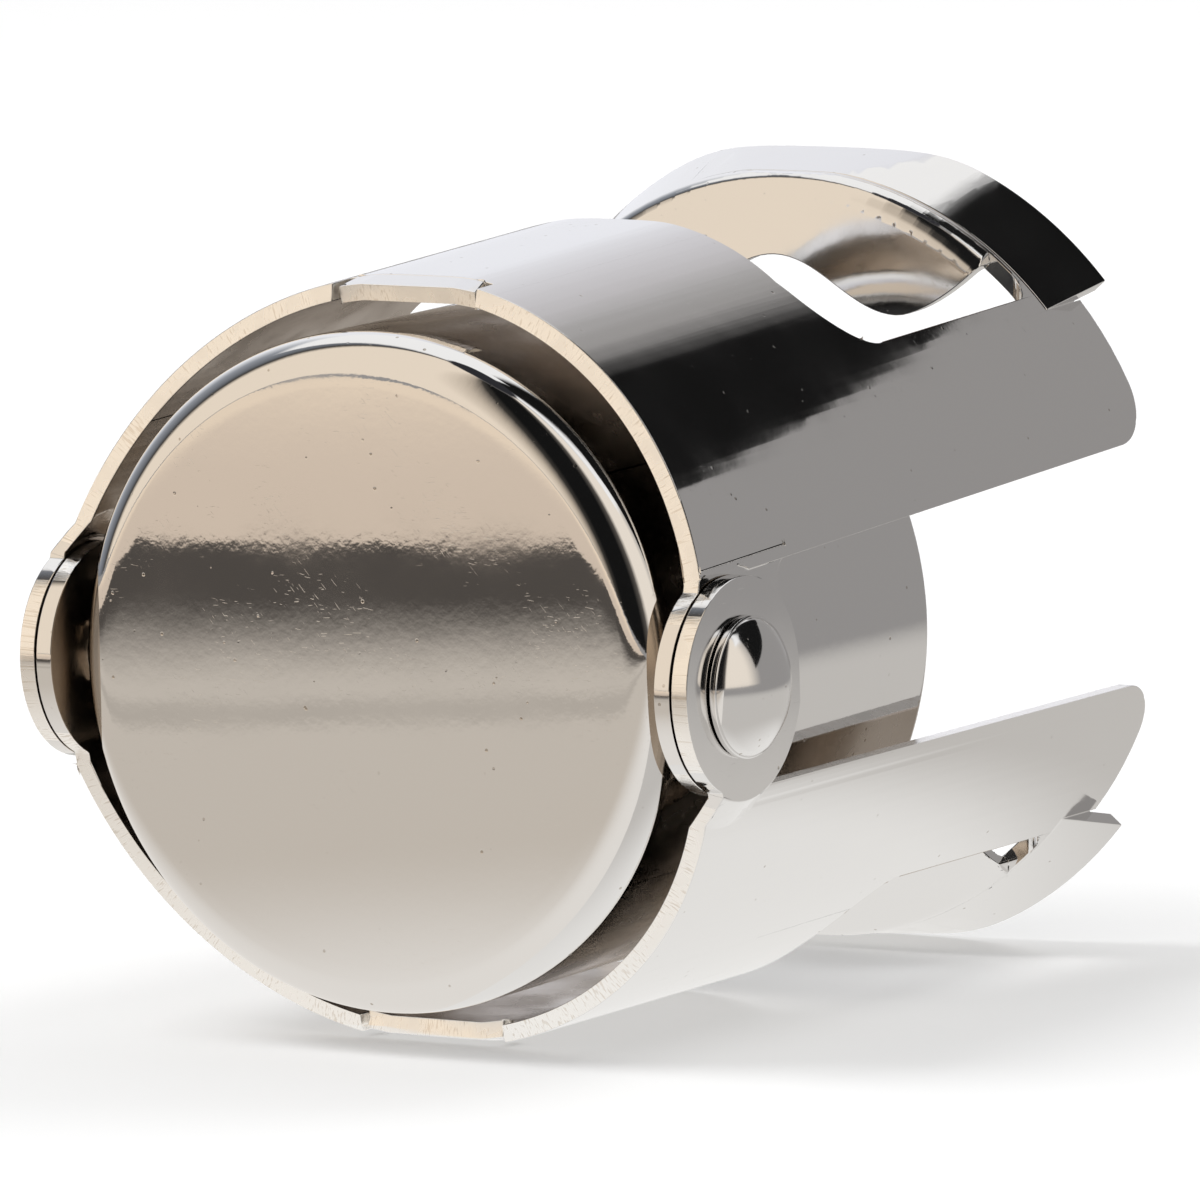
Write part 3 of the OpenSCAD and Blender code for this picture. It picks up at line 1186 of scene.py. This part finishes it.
@dataclass(frozen=True)
class MirroredRoom:
    """The room that the metal mirrors, by compass and by height, in degrees.

    The compass counts from the frame's y axis towards its x axis, so the camera stands near 150. The
    roof is white with a dark beam, and behind the camera it is grey and starts higher up.
    """

    walls: tuple[tuple[float, Colour], ...] = ROOM_WALLS
    beam_from: Limits = (8.0, 16.0)
    beam_to: Limits = (50.0, 75.0)
    beam: Colour = (0.01, 0.01, 0.01)
    behind: Limits = (80.0, 100.0)
    back_roof: Colour = (0.42, 0.40, 0.385)
    eaves: float = 37.5
    eaves_rise: float = 40.0
    eaves_blend: float = 5.5
    zenith_at: Limits = (79.0, 81.0)
    zenith: Colour = (0.03, 0.03, 0.035)

    def colour(self, graph: Graph) -> bpy.types.NodeSocket:
        """Gives the room's colour.

        Args:
            graph: The world's nodes.

        Returns:
            The colour in the ray's direction.
        """
        way = graph.add("SeparateXYZ", {0: graph.add("TexCoord").outputs["Generated"]})
        compass = graph.maths("ARCTAN2", way.outputs[0], way.outputs[1])
        compass = graph.maths("MULTIPLY", compass, 180 / math.pi)
        height = graph.maths("MULTIPLY", graph.maths("ARCSINE", way.outputs[2]), 180 / math.pi)
        behind = graph.span(graph.maths("ABSOLUTE", compass), *self.behind)
        eaves = graph.maths("MULTIPLY_ADD", behind, self.eaves_rise, self.eaves)
        above = graph.span(graph.maths("SUBTRACT", height, eaves), 0.0, self.eaves_blend)
        whole = graph.mix(above, self.wall(graph, compass), self.roof(graph, compass, behind))
        return graph.mix(graph.span(height, *self.zenith_at), whole, (*self.zenith, 1))

    def wall(self, graph: Graph, compass: object) -> bpy.types.NodeSocket:
        """Gives the colour of the walls.

        Args:
            graph: The world's nodes.
            compass: The direction.

        Returns:
            The walls' colour.
        """
        share = graph.add("MapRange", {0: compass, 1: -180.0, 2: 180.0}).outputs[0]
        walls = graph.add("ValToRGB", {0: share})
        ramp = walls.color_ramp
        ramp.elements[0].position = 0.0
        ramp.elements[1].position = 1.0
        ramp.elements[0].color = (*self.walls[0][1], 1)
        ramp.elements[1].color = (*self.walls[-1][1], 1)
        for angle, colour in self.walls[1:-1]:
            ramp.elements.new((angle + 180) / 360).color = (*colour, 1)
        return walls.outputs[0]

    def roof(self, graph: Graph, compass: object, behind: object) -> bpy.types.NodeSocket:
        """Gives the colour of the roof.

        Args:
            graph: The world's nodes.
            compass: The direction.
            behind: 1 behind the camera and 0 in front of it.

        Returns:
            The roof's colour.
        """
        start = graph.span(compass, *self.beam_from)
        end = graph.span(compass, *self.beam_to, (1.0, 0.0))
        roof = graph.mix(graph.maths("MULTIPLY", start, end), WHITE, (*self.beam, 1))
        return graph.mix(behind, roof, (*self.back_roof, 1))


@dataclass(frozen=True)
class MirrorCard:
    """A card that only the metal's reflections show, cut from a plane one metre wide."""

    name: str

    def build(self) -> bpy.types.Object:
        """Builds and dresses the card.

        Returns:
            The finished card.
        """
        bpy.ops.mesh.primitive_plane_add(size=1.0, location=(0, 0, 0))
        card = bpy.context.active_object
        card.name = self.name
        card.data.transform(self.place())
        material = bpy.data.materials.new(self.name)
        material.use_nodes = True
        card.data.materials.append(material)
        graph = Graph(material.node_tree)
        graph.add("OutputMaterial", {"Surface": self.glow(graph)})
        card.visible_camera = False
        card.visible_diffuse = False
        card.visible_transmission = False
        card.visible_shadow = False
        return card

    def place(self) -> Matrix:
        """Gives the matrix from the plane to the card, and each card has its own."""
        raise NotImplementedError

    def glow(self, graph: Graph) -> bpy.types.NodeSocket:
        """Gives the card's shader, and each card has its own."""
        raise NotImplementedError


@dataclass(frozen=True)
class TableCard(MirrorCard):
    """The card in front that the cap's face mirrors: cream, with a dark band.

    Its place and size are in metres, and the band's distances from its foot in millimetres.
    """

    name: str = "table_card"
    foot: Corner = (0.0, -0.024, 0.0006)
    toward: Corner = (-0.5226, -0.8526, 0.0)
    start: float = -0.004
    size: float = 1.2
    close: Colour = (0.86, 0.83, 0.79)
    near: Colour = (0.62, 0.565, 0.50)
    band: Colour = (0.085, 0.075, 0.067)
    far: Colour = (0.72, 0.60, 0.49)
    beyond: Colour = (0.90, 0.75, 0.59)
    close_to_near: Limits = (0.0, 45.0)
    near_to_band: Limits = (100.0, 160.0)
    band_to_far: Limits = (200.0, 208.0)
    far_to_beyond: Limits = (260.0, 560.0)
    stripe_from: Limits = (84.0, 92.0)
    stripe_to: Limits = (94.0, 104.0)
    stripe_share: float = 0.22

    def place(self) -> Matrix:
        """Gives the matrix from the plane to the card, which starts at its foot.

        Returns:
            The matrix.
        """
        toward = Vector(self.toward)
        turn = Matrix.Rotation(math.atan2(toward.y, toward.x), 4, "Z")
        stretch = Matrix.Diagonal((self.size, self.size, 1, 1)) @ Matrix.Translation((0.5, 0, 0))
        return Matrix.Translation(Vector(self.foot) + toward * self.start) @ turn @ stretch

    def glow(self, graph: Graph) -> bpy.types.NodeSocket:
        """Gives the card's shader.

        Args:
            graph: The card's nodes.

        Returns:
            The shader.
        """
        place = graph.add("TexCoord").outputs["Object"]
        gap = graph.add("VectorMath", {0: place, 1: self.foot}, operation="SUBTRACT")
        along = graph.add("VectorMath", {0: gap.outputs[0], 1: self.toward}, operation="DOT_PRODUCT")
        run = graph.maths("MULTIPLY", along.outputs["Value"], 1 / MM)
        start = graph.span(run, *self.stripe_from)
        end = graph.span(run, *self.stripe_to, (1.0, 0.0))
        stripe = graph.maths("MULTIPLY", graph.maths("MULTIPLY", start, end), self.stripe_share)
        tone = graph.mix(graph.span(run, *self.close_to_near), (*self.close, 1), (*self.near, 1))
        tone = graph.mix(stripe, tone, (*self.band, 1))
        tone = graph.mix(graph.span(run, *self.near_to_band), tone, (*self.band, 1))
        tone = graph.mix(graph.span(run, *self.band_to_far), tone, (*self.far, 1))
        tone = graph.mix(graph.span(run, *self.far_to_beyond), tone, (*self.beyond, 1))
        return graph.add("Emission", {"Color": tone, "Strength": 1.0}).outputs[0]


@dataclass(frozen=True)
class BackCard(MirrorCard):
    """The dark card behind the stopper that the upper wing mirrors, soft at its left edge, in metres."""

    name: str = "back_card"
    low: float = 0.0914
    high: float = 0.40
    left: float = -0.004
    right: float = 0.30
    at: float = 0.10
    soft_edge: Limits = (-0.002, 0.021)
    tone: Colour = BLACK

    def place(self) -> Matrix:
        """Gives the matrix from the plane to the upright card.

        Returns:
            The matrix.
        """
        upright = Matrix.Rotation(math.pi / 2, 4, "X")
        stretch = Matrix.Diagonal((self.right - self.left, self.high - self.low, 1, 1))
        middle = ((self.left + self.right) / 2, self.at, (self.low + self.high) / 2)
        return Matrix.Translation(middle) @ upright @ stretch

    def glow(self, graph: Graph) -> bpy.types.NodeSocket:
        """Gives the card's shader.

        Args:
            graph: The card's nodes.

        Returns:
            The shader.
        """
        parts = graph.add("SeparateXYZ", {0: graph.add("TexCoord").outputs["Object"]})
        share = graph.span(parts.outputs[0], *self.soft_edge)
        clear = graph.add("BsdfTransparent").outputs[0]
        dark = graph.add("Emission", {"Color": (*self.tone, 1), "Strength": 1.0}).outputs[0]
        return graph.add("MixShader", {0: share, 1: clear, 2: dark}).outputs[0]


@dataclass(frozen=True)
class PaleFloor:
    """The floor, white to the eye, that keeps the shadow and is mirrored darker far out, in metres."""

    size: float = 4.0
    tone: float = 0.86
    lift: float = 0.18
    near: Colour = (0.88, 0.87, 0.85)
    middle: Colour = (0.60, 0.58, 0.555)
    far: Colour = GREY
    near_to_middle: Limits = (0.022, 0.046)
    middle_to_far: Limits = (0.10, 0.20)

    def build(self) -> bpy.types.Object:
        """Builds and dresses the floor.

        Returns:
            The finished floor.
        """
        bpy.ops.mesh.primitive_plane_add(size=self.size, location=(0, 0, 0))
        floor = bpy.context.active_object
        floor.name = "floor"
        material = bpy.data.materials.new("pale_floor")
        material.use_nodes = True
        floor.data.materials.append(material)
        graph = Graph(material.node_tree)
        ray = graph.add("LightPath")
        seen = self.seen(graph, ray.outputs["Is Camera Ray"])
        inputs = {0: ray.outputs["Is Glossy Ray"], 1: seen, 2: self.mirrored(graph)}
        graph.add("OutputMaterial", {"Surface": graph.add("MixShader", inputs).outputs[0]})
        return floor

    def seen(self, graph: Graph, camera_ray: object) -> bpy.types.NodeSocket:
        """Gives the floor's shader for all rays that aren't mirrored.

        Args:
            graph: The floor's nodes.
            camera_ray: 1 where the camera sees the floor itself.

        Returns:
            The shader.
        """
        matt = graph.add("BsdfDiffuse", {"Color": (self.tone, self.tone, self.tone, 1)}).outputs[0]
        lift = graph.maths("MULTIPLY", camera_ray, self.lift)
        glow = graph.add("Emission", {"Color": WHITE, "Strength": lift}).outputs[0]
        return graph.add("AddShader", {0: matt, 1: glow}).outputs[0]

    def mirrored(self, graph: Graph) -> bpy.types.NodeSocket:
        """Gives the floor's shader in the metal's reflections.

        Args:
            graph: The floor's nodes.

        Returns:
            The shader.
        """
        place = graph.add("TexCoord").outputs["Object"]
        away = graph.add("VectorMath", {0: place}, operation="LENGTH").outputs["Value"]
        near = graph.span(away, *self.near_to_middle)
        tone = graph.mix(near, (*self.near, 1), (*self.middle, 1))
        tone = graph.mix(graph.span(away, *self.middle_to_far), tone, (*self.far, 1))
        return graph.add("Emission", {"Color": tone, "Strength": 1.0}).outputs[0]


@dataclass(frozen=True)
class SoftLamp:
    """A round soft lamp that shines at the origin, and that the metal doesn't mirror.

    Its place and size are in metres, and its power in watts.
    """

    name: str
    place: Corner
    size: float
    power: float

    def build(self) -> bpy.types.Object:
        """Builds the lamp.

        Returns:
            The finished lamp.
        """
        data = bpy.data.lights.new(self.name, "AREA")
        data.shape = "DISK"
        data.size = self.size
        data.energy = self.power
        lamp = bpy.data.objects.new(self.name, data)
        place = Vector(self.place)
        turn = (-place).to_track_quat("-Z", "Y").to_matrix().to_4x4()
        lamp.matrix_world = Matrix.Translation(place) @ turn
        bpy.context.scene.collection.objects.link(lamp)
        lamp.visible_glossy = False
        return lamp


@dataclass
class Studio:
    """The pale floor, the soft light, what the metal mirrors, and the camera.

    The camera's place is in metres, and its lens and sensor in millimetres.
    """

    eye: Vector = field(default_factory=lambda: Vector((0.343343, -0.565839, 0.099320)))
    back: Vector = field(default_factory=lambda: Vector((0.515724, -0.848551, 0.118276)))
    up: Vector = field(default_factory=lambda: Vector((-0.047679, 0.109412, 0.992852)))
    lens: float = 389.73
    sensor: float = 36.0
    seen_from: float = 0.05
    seen_to: float = 20.0
    fill: float = 0.62
    room: MirroredRoom = MirroredRoom()
    lamps: tuple[SoftLamp, ...] = (
        SoftLamp("key", (-0.7, -0.5, 1.3), size=0.9, power=9.0),
        SoftLamp("rim", (0.5, 0.9, 1.1), size=0.7, power=4.0),
    )

    def build(self) -> None:
        """Builds the whole stage."""
        self.world()
        PaleFloor().build()
        TableCard().build()
        BackCard().build()
        for lamp in self.lamps:
            lamp.build()
        self.camera()

    def camera(self) -> None:
        """Adds the camera at the photograph's angle."""
        data = bpy.data.cameras.new("camera")
        data.lens = self.lens
        data.sensor_width = self.sensor
        data.clip_start = self.seen_from
        data.clip_end = self.seen_to
        camera = bpy.data.objects.new("camera", data)
        right = self.up.cross(self.back)
        turn = Matrix((right, self.up, self.back)).transposed().to_4x4()
        camera.matrix_world = Matrix.Translation(self.eye) @ turn
        bpy.context.scene.collection.objects.link(camera)
        bpy.context.scene.camera = camera

    def world(self) -> None:
        """Sets the even fill light, the white behind the floor and the mirrored room."""
        world = bpy.data.worlds.new("studio")
        world.use_nodes = True
        bpy.context.scene.world = world
        graph = Graph(world.node_tree)
        ray = graph.add("LightPath")
        fill = graph.add("Background", {"Color": WHITE, "Strength": self.fill}).outputs[0]
        seen = graph.add("Background", {"Color": WHITE, "Strength": 1.0}).outputs[0]
        inputs = {"Color": self.room.colour(graph), "Strength": 1.0}
        mirrored = graph.add("Background", inputs).outputs[0]
        inputs = {0: ray.outputs["Is Glossy Ray"], 1: fill, 2: mirrored}
        unseen = graph.add("MixShader", inputs).outputs[0]
        inputs = {0: ray.outputs["Is Camera Ray"], 1: unseen, 2: seen}
        graph.add("OutputWorld", {"Surface": graph.add("MixShader", inputs).outputs[0]})


def main() -> None:
    """Builds the stopper and the studio round it."""
    logging.basicConfig(level=logging.INFO, format="%(name)s %(message)s")
    bpy.context.scene.view_settings.view_transform = "Standard"
    placing = Placing.from_joints(frame["joints"])
    DrawnCap(placing).build()
    finishes = {
        SheetFace.OUTSIDE: WING_OUTSIDE.make(),
        SheetFace.EDGE: ShearedEdge().make(),
        SheetFace.INSIDE: WING_INSIDE_PAINTED_SHADE.make(),
    }
    for side in Side:
        SheetWing(placing, side).build(finishes)
    bright = RIVET_STEEL.make()
    for hand, name in ((1, "rivet_right"), (-1, "rivet_left")):
        DomedRivet(placing, hand, name).build(bright)
    SprungSeal(placing).build()
    Studio().build()


if __name__ == "__main__":
    main()
